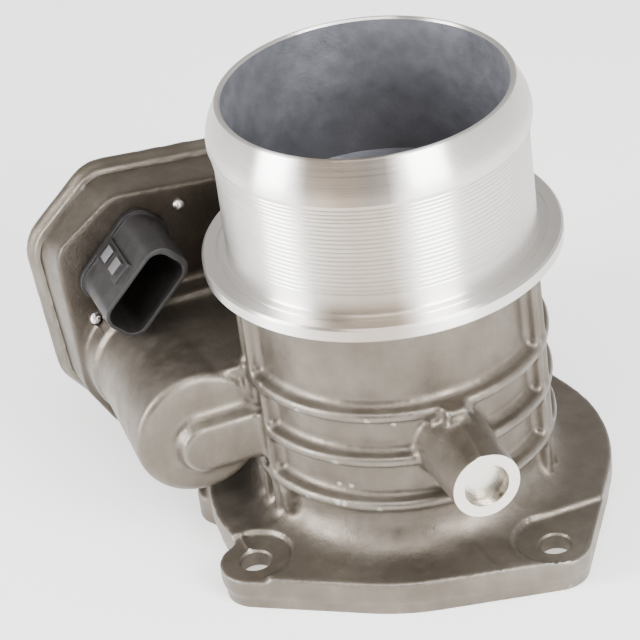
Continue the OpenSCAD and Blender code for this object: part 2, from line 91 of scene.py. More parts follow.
# the connector's middle, then along and across its slant: its end rounds' centres and its rivets
CONN_X, CONN_Z = -47.8, 55.95
CONN_LOW, CONN_HIGH, CONN_HALF_WIDE = -6.3, 7.45, 1.5
CONN_FRONT = 21.0
RIVETS = ((16.7, -3.85), (-15.2, -3.6))


# ---- modelling helpers ----

def clear_selection():
    bpy.ops.object.select_all(action="DESELECT")


def placed(name):
    """The object just added, named, with its place put into its mesh."""
    obj = bpy.context.object
    obj.name = obj.data.name = name
    bpy.ops.object.transform_apply(location=True, rotation=True, scale=True)
    return obj


def rod(x, z, y0, y1, r0, r1=None, sides=96):
    """A round bar along Y, from radius r0 at y0 to r1 at y1."""
    clear_selection()
    bpy.ops.mesh.primitive_cone_add(
        vertices=sides, radius1=r0 * MM, radius2=(r0 if r1 is None else r1) * MM,
        depth=(y1 - y0) * MM, location=(x * MM, (y0 + y1) / 2 * MM, z * MM), rotation=(-pi / 2, 0, 0))
    return placed("rod")


def post(x, y, z0, z1, r0, r1=None, sides=96):
    """A round post along Z, from radius r0 at z0 to r1 at z1."""
    clear_selection()
    bpy.ops.mesh.primitive_cone_add(
        vertices=sides, radius1=r0 * MM, radius2=(r0 if r1 is None else r1) * MM,
        depth=(z1 - z0) * MM, location=(x * MM, y * MM, (z0 + z1) / 2 * MM))
    return placed("post")


def block(low, high, turn=0.0):
    """A block between two corners, turned about the bore's axis by turn degrees."""
    clear_selection()
    bpy.ops.mesh.primitive_cube_add(size=MM, location=[(a + b) / 2 * MM for a, b in zip(low, high)])
    bpy.context.object.scale = [b - a for a, b in zip(low, high)]
    obj = placed("block")
    obj.rotation_euler = (0, 0, radians(turn))
    bpy.ops.object.transform_apply(rotation=True)
    return obj


def in_edit_mode(obj, *steps):
    """Runs operators on all of obj's mesh in edit mode."""
    clear_selection()
    obj.select_set(True)
    bpy.context.view_layer.objects.active = obj
    bpy.ops.object.mode_set(mode="EDIT")
    bpy.ops.mesh.select_all(action="SELECT")
    for step in steps:
        step()
    bpy.ops.object.mode_set(mode="OBJECT")
    return obj


def joined(parts):
    """All of the parts as one object."""
    clear_selection()
    for p in parts:
        p.select_set(True)
    bpy.context.view_layer.objects.active = parts[0]
    if len(parts) > 1:
        bpy.ops.object.join()
    return parts[0]


def wrapped(parts):
    """The tight skin round all of the parts."""
    return in_edit_mode(joined(parts), bpy.ops.mesh.convex_hull)


def turned(points, steps=192, name="turned"):
    """A closed outline of (radius, height) points spun about the bore's axis."""
    clear_selection()
    first = points[0]
    bpy.ops.mesh.primitive_plane_add(size=MM, location=(0, 0, 0))
    obj = placed(name)
    bpy.ops.object.mode_set(mode="EDIT")
    bpy.ops.mesh.select_all(action="SELECT")
    bpy.ops.mesh.merge(type="CENTER")
    bpy.ops.transform.translate(value=(first[0] * MM, 0, first[1] * MM))
    for a, b in zip(points, points[1:] + points[:1]):
        bpy.ops.mesh.extrude_region_move(
            TRANSFORM_OT_translate={"value": ((b[0] - a[0]) * MM, 0, (b[1] - a[1]) * MM)})
    bpy.ops.mesh.select_all(action="SELECT")
    bpy.ops.mesh.remove_doubles(threshold=1e-7)
    bpy.ops.mesh.spin(steps=steps, angle=2 * pi, center=(0, 0, 0), axis=(0, 0, 1))
    bpy.ops.mesh.select_all(action="SELECT")
    bpy.ops.mesh.remove_doubles(threshold=1e-7)
    bpy.ops.mesh.normals_make_consistent(inside=False)
    bpy.ops.object.mode_set(mode="OBJECT")
    return obj


def applied(obj, kind, **settings):
    """Adds one modifier to obj and applies it."""
    clear_selection()
    obj.select_set(True)
    bpy.context.view_layer.objects.active = obj
    mod = obj.modifiers.new(kind.lower(), kind)
    for key, value in settings.items():
        setattr(mod, key, value)
    bpy.ops.object.modifier_apply(modifier=mod.name)
    return obj


def combine(obj, other, operation):
    """Applies one boolean and deletes the tool."""
    applied(obj, "BOOLEAN", operation=operation, object=other, solver="MANIFOLD")
    bpy.data.objects.remove(other)
    return obj


def cut(obj, *tools):
    for tool in tools:
        combine(obj, tool, "DIFFERENCE")
    return obj


def added(obj, *tools):
    for tool in tools:
        combine(obj, tool, "UNION")
    return obj


def reskinned(obj, size):
    """A fresh even skin of cells of this size, in millimetres."""
    return applied(obj, "REMESH", mode="VOXEL", voxel_size=size * MM)


def swollen(obj, amount):
    return applied(obj, "DISPLACE", direction="NORMAL", mid_level=0.0, strength=amount * MM)


def softened(obj, repeat, factor=0.5):
    return applied(obj, "SMOOTH", factor=factor, iterations=repeat)


def with_fillets(obj, radius, size):
    """Rounds the inner corners where shapes run together, as a casting has them."""
    reskinned(obj, size)
    swollen(obj, radius)
    reskinned(obj, size)
    return swollen(obj, -radius)


def thinned_to(obj, triangles):
    count = sum(len(p.vertices) - 2 for p in obj.data.polygons)
    if count > triangles:
        applied(obj, "DECIMATE", ratio=triangles / count)
    return obj


def shaded(obj, angle=35):
    clear_selection()
    obj.select_set(True)
    bpy.context.view_layer.objects.active = obj
    bpy.ops.object.shade_smooth_by_angle(angle=radians(angle))
    return obj


def around(angle, radius):
    """The x and y of a place round the bore's axis."""
    return radius * cos(radians(angle)), radius * sin(radians(angle))


# ---- the casting ----

def flange_disc(x, y, r):
    """One round of the flange: upright above its parting line, drawn in below it."""
    parting = 3.3
    upper = post(x, y, parting, FLANGE_TOP, r - 0.1, r)
    lower = post(x, y, -1.0, parting + 0.3, r - 0.95, r - 0.6)
    return [upper, lower]


def flange_wing(angle, side):
    """The straight edge that leads from the flange's round to a bolt lobe."""
    swing = side * acos((FLANGE_R - LOBE_R) / BOLT_CIRCLE_R) * 180 / pi
    out = around(angle, BOLT_CIRCLE_R)
    inner = around(angle + swing, FLANGE_R - LOBE_R)
    out_disc = flange_disc(*out, LOBE_R)
    inner_disc = flange_disc(*inner, LOBE_R)
    return [wrapped([a, b]) for a, b in zip(out_disc, inner_disc)]


def flange():
    """The round flange with its bolt lobes, and a small lug at its back left."""
    parts = flange_disc(0, 0, FLANGE_R)
    for angle, sides in zip(BOLT_ANGLES, ((1,), (1, -1), (1, -1))):
        parts += flange_disc(*around(angle, BOLT_CIRCLE_R), LOBE_R)
        for side in sides:
            parts += flange_wing(angle, side)
    lug = post(-38.4, 14.4, -1.0, FLANGE_TOP - 2.0, 6.6)
    # fine raised seam from the tube to the flange's edge
    seam = wrapped([post(x, y, FLANGE_TOP - 1, FLANGE_TOP + 0.5, 0.55, 0.35, 12)
                    for x, y in ((0.3, -30.0), (1.1, -44.2))])
    return parts + [lug, seam]


def tube():
    """The tube with its flared foot, its three rings and the start of the collar."""
    foot_r, flare = 37.8, 7.1
    outline = [(0, 1), (foot_r, 1), (foot_r, FLANGE_TOP)]
    for step in range(0, 91, 15):
        a = radians(step)
        outline.append((foot_r - flare * sin(a), FLANGE_TOP + flare * (1 - cos(a))))
    for top in RIB_TOPS:
        low = top - RIB_H
        outline += [(TUBE_R, low - 0.5), (RIB_R - 0.5, low), (RIB_R, low + 0.5), (RIB_R, top - 0.5),
                    (RIB_R - 0.5, top), (TUBE_R, top + 0.4)]
    outline += [(TUBE_R, 60.6), (30.8, 62.2), (31.7, 63.6), (33.2, 64.5), (34.6, COLLAR_Z + 0.1),
                (34.6, COLLAR_Z + 2), (0, COLLAR_Z + 2)]
    return turned(outline, 160, "tube")


def upright_ribs():
    """Narrow rails up the tube that tie the rings together, and the cast drop under the lowest ring."""
    rails = [block((20, -0.9, FLANGE_TOP), (RIB_R - 0.1, 0.9, top), turn)
             for turn, top in ((189.5, 44), (181.5, 63), (174.5, 63), (324.5, 63), (318.0, 63), (60, 63))]
    drop = [post(*around(196.0, 31.5), 12.6, 18.0, 2.1, 2.3), post(*around(196.0, 31.0), 11.8, 18.6, 1.5)]
    return rails + [wrapped(drop)]


def shaft_boss():
    """The front boss on the shaft's line, with a pad up to the rings and its casting seam."""
    stem = rod(0, SHAFT_Z, BOSS_FACE - 1.0, -24, 7.35, 8.3)
    pad = block((-2.4, -36.5, SHAFT_Z + 5), (2.4, -28, 43.8))
    seam = wrapped([rod(x, z, y, y + 0.4, 0.7, sides=16)
                    for x, z, y in ((0.3, 40.6, -37.5), (-0.9, 40.0, -50.4))])
    return [stem, pad, seam]


def case_wall():
    """The gear case's slanted wall and flat floor."""
    feet = [rod(x, z, CASE_FLOOR, CASE_FLOOR + 2, r, r + 0.1, 64) for x, z, r in FOOT]
    top = [rod(x, z, RIM_FRONT - 0.5, RIM_FRONT, r - 2.4, sides=64) for x, z, r in RIM]
    edge = [rod(x, z, RIM_FRONT, RIM_BACK + 2, r - 1.3, sides=64) for x, z, r in RIM]
    return [wrapped(feet + top), wrapped(edge)]


def case_webs():
    """What ties the case to the tube and the flange behind the spigot."""
    shaft_housing = rod(0, SHAFT_Z, 20, CASE_FLOOR + 1, 13, 12)
    level_web = block((-26, 18, 29.5), (16, 40, 35.5))
    upright_web = block((-4, 18, FLANGE_TOP - 1), (4, 40, 60))
    flange_shelf = block((-20, 30, FLANGE_TOP - 1.4), (16, 41, 13.4))
    return [shaft_housing, level_web, upright_web, flange_shelf]


def motor_barrel():
    """The motor's round housing, its web to the tube, and the oblong pad across its end."""
    radius, nose_y, collar_y = 14.5, 1.2, 33.0
    body = rod(BARREL_X, BARREL_Z, nose_y, collar_y + 0.4, radius, radius - 1)
    nose = rod(BARREL_X, BARREL_Z, 0.0, nose_y, radius - 1.2, radius)
    collar = rod(BARREL_X, BARREL_Z, collar_y, CASE_FLOOR + 1, radius)
    web = block((BARREL_X, nose_y, 27), (-22, CASE_FLOOR + 1, 44.6))
    pad = wrapped([rod(x, 29.3, -3.6, 0.5, 5.3, 7.0, 64) for x in (BARREL_X, -27)])
    step = block((BARREL_X, collar_y, 38), (-20, CASE_FLOOR + 1, BARREL_Z + radius))
    return [body, nose, collar, web, pad, step]


def bolt_seats():
    """Shallow pockets for the bolt heads; the front two run straight out to the flange's edge."""
    tools = []
    floor, above, past_edge = FLANGE_TOP - SEAT_DEPTH, 16, 30
    for angle, out in zip(BOLT_ANGLES, (-1, 1, 0)):
        x, y = around(angle, BOLT_CIRCLE_R)
        tools.append(post(x, y + 1, floor, above, SEAT_R))
        if out:
            left, right = sorted((x, x + out * past_edge))
            tools.append(block((left, y - past_edge, floor), (right, y + 1 + SEAT_R, above)))
    return tools


def conn_outline(radius, y0, y1, far_radius=None, ends=(CONN_LOW, CONN_HIGH)):
    """The connector's rounded oblong, set slantwise in the case floor."""
    rods = []
    for along in ends:
        for across in (-CONN_HALF_WIDE, CONN_HALF_WIDE):
            rods.append(rod(*conn_point(along, across), y0, y1, radius, far_radius, 48))
    return wrapped(rods)


def conn_point(along, across):
    """From the connector's own long and short directions to x and z."""
    k = sqrt(0.5)
    return CONN_X + k * (along - across), CONN_Z + k * (along + across)


def case_slice(y0, y1, inset, circles=RIM):
    """The case's outline drawn in by inset, from y0 to y1."""
    return wrapped([rod(x, z, y0, y1, r - inset, sides=64) for x, z, r in circles])


def inner_seats():
    """Seats that stand on the case floor inside the case."""
    motor_ring = rod(MOTOR_X, MOTOR_Z, CASE_INNER - 1, 48, 13.4)
    idler_seat = rod(IDLER_X, IDLER_Z, CASE_INNER - 1, 45.5, 4.6)
    bearing_seat = rod(0, SHAFT_Z, CASE_INNER - 1, CASE_INNER + 0.4, 8.9)
    return [motor_ring, idler_seat, bearing_seat]


def bore_tool():
    """The air bore, with its chamfered mouth and the cone that opens it to the spigot's width."""
    wide = SPIGOT_BORE_R + 1.0
    return turned([(0, -2), (BORE_R + 0.6, -2), (BORE_R + 0.6, 0), (BORE_R, 0.6), (BORE_R, 62),
                   (wide, 73.25), (wide, 80), (0, 80)], 160, "bore_tool")


def machined_faces():
    """What is milled off: the flange's foot, the collar's seat, the boss's end, the case's rim and inside."""
    return [
        block((-80, -80, -20), (80, 80, 0)),
        block((-60, -60, COLLAR_Z + 0.02), (60, 32, 90)),
        block((-20, -70, 10), (20, BOSS_FACE, 60)),
        block((-80, RIM_BACK, 0), (60, 80, 90)),
        case_slice(CASE_INNER, 70, 5.4),
    ]


def bolt_hole(x, y):
    """A clearance hole, wider at its foot and chamfered under the bolt's head."""
    seat = FLANGE_TOP - SEAT_DEPTH
    return [
        post(x, y, -2, 20, BOLT_HOLE_R, sides=64),
        post(x, y, -2, HOLE_FOOT_TOP, HOLE_FOOT_R, sides=64),
        post(x, y, seat - 0.6, seat + 0.4, BOLT_HOLE_R - 0.2, BOLT_HOLE_R + 0.8, 64),
    ]


def shaft_line_bores():
    """The boss's mouth, then the bores of the plug and bush, the shaft, the seal and the bearing."""
    lengths = ((-60, PLUG_FACE + 0.1, BOSS_MOUTH_R), (PLUG_FACE, -31, PLUG_R), (-32, 34, 4.2),
               (31.5, 37, 7.0), (36.5, 60, 8.0))
    return [rod(0, SHAFT_Z, y0, y1, r) for y0, y1, r in lengths]


def gear_side_bores():
    """The motor's room with its nose bearing, the idler pin's hole and the connector's opening."""
    return [
        rod(MOTOR_X, MOTOR_Z, 4, 60, 11.3),
        rod(MOTOR_X, MOTOR_Z, 2.5, 5, 4.4),
        rod(IDLER_X, IDLER_Z, 40.5, 60, 2.0),
        conn_outline(4.2, 34, 60),
    ]


def rivet_hole(x, z):
    """A rivet's hole and the small face round it that its head sits on."""
    return [rod(x, z, 34, 60, 1.1), rod(x, z, 34, CASE_FLOOR - 0.1, 1.45)]


def cast_body():
    """The housing: cast with fillets, seated for its bolts, then machined."""
    body = joined(flange() + [tube()] + upright_ribs() + shaft_boss()
                  + case_wall() + case_webs() + motor_barrel())
    with_fillets(body, 0.7, 0.5)
    cut(body, *bolt_seats())
    reskinned(body, 0.45)
    softened(body, 2)
    thinned_to(body, 184000)
    cut(body, *machined_faces())
    added(body, *inner_seats())
    cut(body, bore_tool())
    for angle in BOLT_ANGLES:
        cut(body, *bolt_hole(*around(angle, BOLT_CIRCLE_R)))
    cut(body, *shaft_line_bores(), *gear_side_bores())
    for rivet in RIVETS:
        cut(body, *rivet_hole(*conn_point(*rivet)))
    cut(body, turned([(30, -1), (33, -1), (33, 2.4), (30, 2.4)], 128, "seal_groove"))
    body.name = body.data.name = "cast_body"
    return body


# ---- turned parts ----

def spigot_outline():
    """Collar, grooved land and lip outside; the spigot's wide bore and its cone inside."""
    cone_at_collar = BORE_R + (COLLAR_Z - 62) / 9 * (SPIGOT_BORE_R - BORE_R)
    points = [(cone_at_collar, COLLAR_Z), (COLLAR_R - 0.5, COLLAR_Z), (COLLAR_R, COLLAR_Z + 0.5),
              (COLLAR_R, COLLAR_TOP - 0.5), (COLLAR_R - 0.5, COLLAR_TOP), (35.4, COLLAR_TOP),
              (35.2, COLLAR_TOP - 0.35), (34.9, COLLAR_TOP - 0.35), (34.7, COLLAR_TOP),
              (33.7, COLLAR_TOP), (33.2, COLLAR_TOP + 0.2), (SPIGOT_R, COLLAR_TOP + 0.7)]
    z = LAND_LOW
    while z < LIP_LOW - 0.9:
        r = SPIGOT_R + max(0.0, z - LAND_SWELL) / (LIP_LOW - LAND_SWELL) * 0.75
        points += [(r, z), (r - GROOVE_DEPTH, z + 0.25), (r - GROOVE_DEPTH, z + 0.4), (r, z + 0.65)]
        z += GROOVE_PITCH
    points += [(SPIGOT_R + 0.7, LIP_LOW - 0.05), (LIP_R - 0.05, LIP_LOW), (LIP_R, LIP_LOW + 0.15),
               (LIP_R + 0.03, 95.6), (LIP_R - 0.1, 96.4), (33.45, 97.9), (31.5, 102.3), (31.25, 102.8),
               (30.9, SPIGOT_TOP), (30.4, SPIGOT_TOP), (SPIGOT_BORE_R, SPIGOT_TOP - 0.4),
               (SPIGOT_BORE_R, 71.0)]
    return points


def turned_spigot():
    """The bright hose spigot and its collar, turned in one piece."""
    return turned(spigot_outline(), 256, "turned_spigot")


# ---- pressed cover ----

def pressed_cover():
    """The lid: a rolled edge that grips the case's rim, a flat face and a dome over the gears."""
    top = COVER_IN + 1.0
    dome_top = 65.9
    edge = [case_slice(52.0, top, 0.0), case_slice(RIM_FRONT - 1.1, 52.2, 0.9)]
    dome = wrapped([rod(x, z, top - 1, dome_top, r + 1.0, r - 0.6, 64) for x, z, r in DOME])
    crown = rod(0, SHAFT_Z, dome_top - 0.9, dome_top + 1.4, 14, 11.5)
    bridge = wrapped([rod(x, z, dome_top - 1, dome_top + 0.8, 7)
                      for x, z in ((MOTOR_X, MOTOR_Z), (0, SHAFT_Z))])
    lid = joined(edge + [dome, crown, bridge])
    with_fillets(lid, 0.9, 0.7)
    reskinned(lid, 0.5)
    softened(lid, 2)
    thinned_to(lid, 90000)
    cut(lid, case_slice(47.0, RIM_FRONT + 0.5, 2.2), case_slice(RIM_FRONT, COVER_IN, 1.2),
        case_slice(COVER_IN - 1, dome_top - 1.1, 1.5, DOME))
    lid.name = lid.data.name = "pressed_cover"
    return lid


# ---- connector ----

def slant_block(along0, along1, across0, across1, y0, y1):
    """A block in the connector's own directions."""
    clear_selection()
    bpy.ops.mesh.primitive_cube_add(
        size=MM, location=((along0 + along1) / 2 * MM, (y0 + y1) / 2 * MM, (across0 + across1) / 2 * MM))
    bpy.context.object.scale = (along1 - along0, y1 - y0, across1 - across0)
    obj = placed("slant_block")
    obj.rotation_euler = (0, -pi / 4, 0)
    obj.location = (CONN_X * MM, 0, CONN_Z * MM)
    bpy.ops.object.transform_apply(location=True, rotation=True)
    return obj


def plug_socket():
    """The connector: an oblong shell with a foot, a latch rail with two ramps and a dark mouth."""
    shell = conn_outline(3.9, CONN_FRONT, 39.5, 4.1)
    foot = conn_outline(4.8, 37.4, 38.95)
    rail = slant_block(-1.9, 3.3, 4.9, 6.3, 24.0, 38.5)
    ramps = []
    for y in (25.7, 31.3):
        steep = slant_block(-1.0, 2.4, 5.6, 6.95, y, y + 3.2)
        shallow = slant_block(-1.0, 2.4, 5.6, 6.6, y, y + 3.7)
        ramps.append(wrapped([steep, shallow]))
    body = added(shell, foot, rail, *ramps)
    mouth = conn_outline(3.05, CONN_FRONT - 1, 41.0, ends=(CONN_LOW, CONN_HIGH - 0.7))
    cut(body, mouth)
    in_edit_mode(body, lambda: bpy.ops.mesh.remove_doubles(threshold=1e-6),
                 lambda: bpy.ops.mesh.dissolve_limited(angle_limit=radians(1.0)))
    applied(body, "BEVEL", width=0.3 * MM, segments=3, limit_method="ANGLE", angle_limit=radians(40))
    body.name = body.data.name = "plug_socket"
    return body


def boss_plug():
    """The disc that closes the shaft boss, held behind the boss's rolled-in mouth."""
    plug = rod(0, SHAFT_Z, PLUG_FACE + 0.02, PLUG_BACK, PLUG_R - 0.05)
    applied(plug, "BEVEL", width=0.12 * MM, segments=2, limit_method="ANGLE", angle_limit=radians(50))
    plug.name = plug.data.name = "boss_plug"
    return plug


# ---- materials ----

def colour_ramp(nodes, links, value, stops):
    """A ramp over stops of (place, colour)."""
    node = nodes.new("ShaderNodeValToRGB")
    band = node.color_ramp
    while len(band.elements) < len(stops):
        band.elements.new(0.5)
    for element, (at, colour) in zip(band.elements, stops):
        element.position = at
        element.color = (*colour, 1.0)
    links.new(value, node.inputs["Fac"])
    return node.outputs["Color"]


def share_of_turn(nodes, links, x, y):
    """How far round the upright axis: 0 and 1 behind, 0.25 left, 0.5 in front, 0.75 right."""
    front = nodes.new("ShaderNodeMath")
    front.operation = "MULTIPLY"
    front.inputs[1].default_value = -1.0
    links.new(y, front.inputs[0])
    angle = nodes.new("ShaderNodeMath")
    angle.operation = "ARCTAN2"
    links.new(x, angle.inputs[0])
    links.new(front.outputs["Value"], angle.inputs[1])
    share = nodes.new("ShaderNodeMapRange")
    for key, value in (("From Min", -pi), ("From Max", pi), ("To Min", 0.0), ("To Max", 1.0)):
        share.inputs[key].default_value = value
    links.new(angle.outputs["Value"], share.inputs["Value"])
    return share.outputs["Result"]


class Shader:
    """A small builder for one node material on Object coordinates."""

    def __init__(self, name, **sockets):
        self.material = bpy.data.materials.new(name)
        self.material.use_nodes = True
        self.nodes = self.material.node_tree.nodes
        self.links = self.material.node_tree.links
        self.surface = self.nodes["Principled BSDF"]
        self.place = self.nodes.new("ShaderNodeTexCoord").outputs["Object"]
        for key, value in sockets.items():
            self.surface.inputs[key.replace("_", " ")].default_value = value

    def axes(self, place=None):
        """The X, Y and Z of a place on the piece."""
        node = self.nodes.new("ShaderNodeSeparateXYZ")
        self.links.new(place or self.place, node.inputs["Vector"])
        return node.outputs["X"], node.outputs["Y"], node.outputs["Z"]

    def stretched(self, scale):
        """The place, with a scale of its own along each axis."""
        mapping = self.nodes.new("ShaderNodeMapping")
        mapping.inputs["Scale"].default_value = scale
        self.links.new(self.place, mapping.inputs["Vector"])
        return mapping.outputs["Vector"]

    def noise(self, scale, detail=3.0, roughness=0.55, place=None):
        node = self.nodes.new("ShaderNodeTexNoise")
        node.inputs["Scale"].default_value = scale
        node.inputs["Detail"].default_value = detail
        node.inputs["Roughness"].default_value = roughness
        self.links.new(place or self.place, node.inputs["Vector"])
        return node.outputs["Fac"]

    def ramp(self, value, *stops):
        return colour_ramp(self.nodes, self.links, value, stops)

    def between(self, value, low, high, start=0.3, end=0.7):
        """Value stretched from start..end to low..high, and held there beyond."""
        node = self.nodes.new("ShaderNodeMapRange")
        for key, setting in (("From Min", start), ("From Max", end), ("To Min", low), ("To Max", high)):
            node.inputs[key].default_value = setting
        self.links.new(value, node.inputs["Value"])
        return node.outputs["Result"]

    def mixed(self, share, one, two, blend="MIX"):
        node = self.nodes.new("ShaderNodeMix")
        node.data_type = "RGBA"
        node.blend_type = blend
        for socket, value in ((node.inputs["Factor"], share), (node.inputs[6], one), (node.inputs[7], two)):
            if isinstance(value, (float, int, tuple)):
                socket.default_value = value if not isinstance(value, tuple) else (*value, 1.0)
            else:
                self.links.new(value, socket)
        return node.outputs[2]

    def edges(self, low, high):
        """0 at low and 1 at high, on a scale from hollows, past 0.5 on the flat, to outer corners."""
        node = self.nodes.new("ShaderNodeNewGeometry")
        return self.between(node.outputs["Pointiness"], 0.0, 1.0, low, high)

    def bumped(self, *layers):
        """Each layer is (height, depth in metres)."""
        normal = None
        for height, depth in layers:
            node = self.nodes.new("ShaderNodeBump")
            node.inputs["Distance"].default_value = depth
            node.inputs["Strength"].default_value = 1.0
            self.links.new(height, node.inputs["Height"])
            if normal:
                self.links.new(normal, node.inputs["Normal"])
            normal = node.outputs["Normal"]
        self.links.new(normal, self.surface.inputs["Normal"])

    def finish(self, colour=None, rough=None):
        if colour:
            self.links.new(colour, self.surface.inputs["Base Color"])
        if rough:
            self.links.new(rough, self.surface.inputs["Roughness"])
        return self.material


def cast_aluminium(name, edge_wear_sheen_and_shade):
    """Satin die-cast skin; where asked, outer corners are painted lighter, part wear and part painted
    highlight, and hollows are darkened as painted shade.
    """
    s = Shader(name, Metallic=0.85)
    cloud = s.noise(55.0, 5.0, 0.6)
    tone = s.ramp(cloud, (0.30, (0.125, 0.106, 0.086)), (0.52, (0.172, 0.150, 0.124)),
                  (0.72, (0.222, 0.201, 0.171)))
    flow = s.noise(1.0, 3.0, 0.6, s.stretched((420.0, 420.0, 60.0)))
    tone = s.mixed(s.between(flow, 0.0, 0.3), tone, (0.11, 0.096, 0.079))
    if edge_wear_sheen_and_shade:
        # outer corners painted lighter, part wear and part painted highlight; hollows painted dark as painted
        # shade
        tone = s.mixed(s.edges(0.515, 0.59), tone, (0.36, 0.345, 0.315))
        tone = s.mixed(s.edges(0.487, 0.44), tone, (0.045, 0.039, 0.032))
    # painted shade: the case's flat floor is painted darker, and the wall past it only a little
    before, past = 9.0, 11.0
    depth = s.between(s.axes()[1], 0.0, 1.0, (CASE_FLOOR - before) * MM, (CASE_FLOOR + past) * MM)
    at = [(off + before) / (before + past) for off in (-2.2, -0.6, 0.2, 1.8)]
    dark = (0.46, 0.44, 0.43)
    skin = s.ramp(depth, (at[0], (1, 1, 1)), (at[1], dark), (at[2], dark), (at[3], (0.86, 0.85, 0.83)))
    tone = s.mixed(1.0, tone, skin, "MULTIPLY")
    rough = s.between(s.noise(240.0, 3.0), 0.34, 0.52)
    s.bumped((s.noise(2600.0, 2.0), 0.00005), (s.noise(420.0, 3.0), 0.0001))
    return s.finish(tone, rough)


def bore_skin():
    """The matt grey wall of the air bore."""
    s = Shader("bore_skin", Metallic=0.7)
    cloud = s.noise(60.0, 5.0, 0.6)
    tone = s.ramp(cloud, (0.28, (0.17, 0.175, 0.20)), (0.55, (0.235, 0.24, 0.27)), (0.8, (0.34, 0.35, 0.38)))
    # painted shadow: darker lower down the bore, where the near rim's shadow falls
    tone = s.mixed(s.between(s.axes()[2], 0.55, 0.0, 84 * MM, 94 * MM), tone, (0.12, 0.12, 0.135))
    rough = s.between(s.noise(300.0), 0.42, 0.6)
    s.bumped((s.noise(1800.0, 2.0), 0.00006), (s.noise(260.0, 3.0), 0.0001))
    return s.finish(tone, rough)


def sweep(*stops):
    """Stops for a colour ramp from degrees round the bore, counted from the front."""
    return [((degree + 180) / 360, colour) for degree, colour in stops]


def turned_aluminium():
    """Bright metal whose fine tool lines run round the bore's axis and draw the light up and down."""
    s = Shader("turned_aluminium", Metallic=1.0, Anisotropic=0.95, Anisotropic_Rotation=0.25)
    lines = s.noise(1.0, 2.0, 0.5, s.stretched((14.0, 14.0, 5200.0)))
    tone = s.ramp(lines, (0.30, (0.78, 0.755, 0.725)), (0.70, (0.93, 0.91, 0.885)))
    cloud = s.noise(70.0, 3.0)
    tone = s.mixed(s.between(cloud, 0.0, 0.25), tone, (0.72, 0.70, 0.67))
    # painted reflection: a darker beige sweep round the front stands in for a dark room reflected there,
    # stronger on the lip than on the land
    x, y, z = s.axes()
    share = share_of_turn(s.nodes, s.links, x, y)
    land = s.ramp(share, *sweep((-48, (1, 1, 1)), (-42, (0.86, 0.82, 0.77)), (-34, (0.72, 0.66, 0.59)),
                                (-27, (0.62, 0.56, 0.49)), (-16, (0.64, 0.58, 0.51)), (-8, (1, 1, 1))))
    lip = s.ramp(share, *sweep((-72, (1, 1, 1)), (-66, (0.80, 0.79, 0.78)), (-62, (1, 1, 1)),
                               (-47, (1, 1, 1)), (-42, (0.58, 0.52, 0.46)), (-36, (0.58, 0.50, 0.42)),
                               (-30, (0.42, 0.35, 0.28)), (-20, (0.33, 0.30, 0.27)),
                               (-14, (0.40, 0.37, 0.34)), (-9, (1, 1, 1))))
    edge = LIP_LOW * MM
    painted_reflection = s.mixed(s.between(z, 0.0, 1.0, edge - 0.00005, edge + 0.00005), land, lip)
    tone = s.mixed(1.0, tone, painted_reflection, "MULTIPLY")
    rough = s.between(lines, 0.30, 0.40)
    s.bumped((lines, 0.000012))
    return s.finish(tone, rough)


def faced_aluminium():
    """A small faced-off end, with rings from the tool round the shaft line."""
    s = Shader("faced_aluminium", Metallic=1.0)
    centred = s.nodes.new("ShaderNodeMapping")
    centred.inputs["Location"].default_value = (0, 0, -SHAFT_Z * MM)
    s.links.new(s.place, centred.inputs["Vector"])
    x, _, z = s.axes(centred.outputs["Vector"])
    flat = s.nodes.new("ShaderNodeCombineXYZ")
    s.links.new(x, flat.inputs["X"])
    s.links.new(z, flat.inputs["Y"])
    radius = s.nodes.new("ShaderNodeVectorMath")
    radius.operation = "LENGTH"
    s.links.new(flat.outputs["Vector"], radius.inputs[0])
    ringed = s.nodes.new("ShaderNodeTexNoise")
    ringed.noise_dimensions = "1D"
    ringed.inputs["Scale"].default_value = 4200.0
    s.links.new(radius.outputs["Value"], ringed.inputs["W"])
    rings = ringed.outputs["Fac"]
    tone = s.ramp(rings, (0.3, (0.68, 0.65, 0.59)), (0.7, (0.80, 0.77, 0.70)))
    s.bumped((rings, 0.00002))
    return s.finish(tone, s.between(rings, 0.26, 0.4))


def metal(name, dark, light, rough_low, rough_high, scale=300.0, metallic=1.0):
    """Bare metal, clouded between a dark and a light tone."""
    s = Shader(name, Metallic=metallic)
    tone = s.ramp(s.noise(scale, 4.0), (0.3, dark), (0.7, light))
    s.bumped((s.noise(3000.0, 2.0), 0.00002))
    return s.finish(tone, s.between(s.noise(scale * 0.6), rough_low, rough_high))


def moulded(name, dark, light, rough_low, rough_high):
    """Plastic or rubber from a mould, a little paler on its outer corners."""
    s = Shader(name, Metallic=0.0)
    tone = s.ramp(s.noise(160.0, 4.0), (0.3, dark), (0.7, light))
    tone = s.mixed(s.edges(0.53, 0.62), tone, tuple(min(1.0, c * 1.7 + 0.01) for c in light))
    s.bumped((s.noise(3400.0, 2.0), 0.00005), (s.noise(500.0), 0.00004))
    return s.finish(tone, s.between(s.noise(400.0), rough_low, rough_high))


